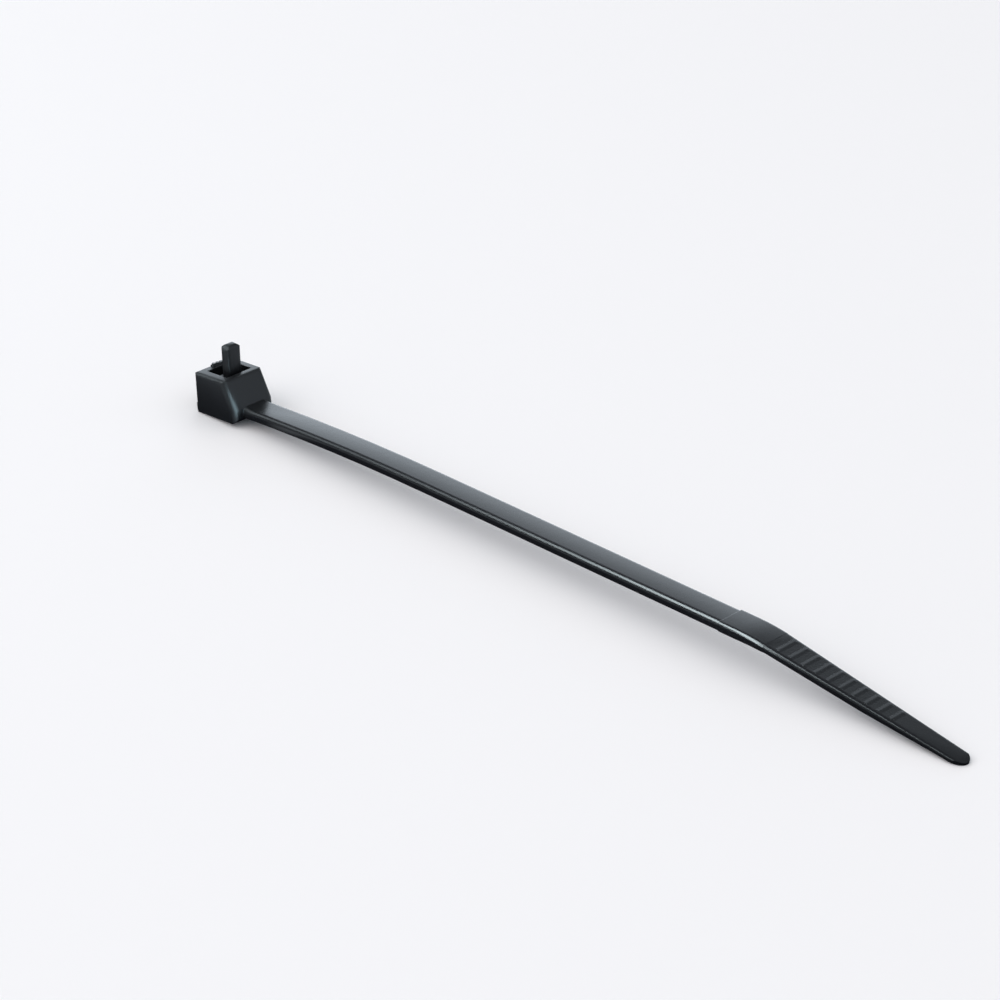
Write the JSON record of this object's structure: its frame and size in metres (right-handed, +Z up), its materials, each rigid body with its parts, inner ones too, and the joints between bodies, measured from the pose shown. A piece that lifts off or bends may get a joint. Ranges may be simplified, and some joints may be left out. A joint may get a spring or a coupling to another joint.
{
  "type": "cable tie",
  "caption": "Releasable cable tie in one moulding: slotted block head, tipped up, with a release lever; a ratchet-toothed strap that bows gently; and a tapered, ribbed tail that dips to the table.",
  "frame": {"origin": "under the base of the head, on the centre line of the tie, below its back wall, where the tipped head touches the table; the table is z = 0", "axes": "+X along the strap from the head to the tip, +Z up from the table, toward the end of the release lever, +Y across the strap"},
  "size_m": [0.1498, 0.008, 0.0118],
  "materials": {
    "black_nylon": "black moulded nylon, smooth with a soft satin gloss"
  },
  "bodies": {
    "root": {"cable_tie": "black_nylon"}
  },
  "joints": []
}
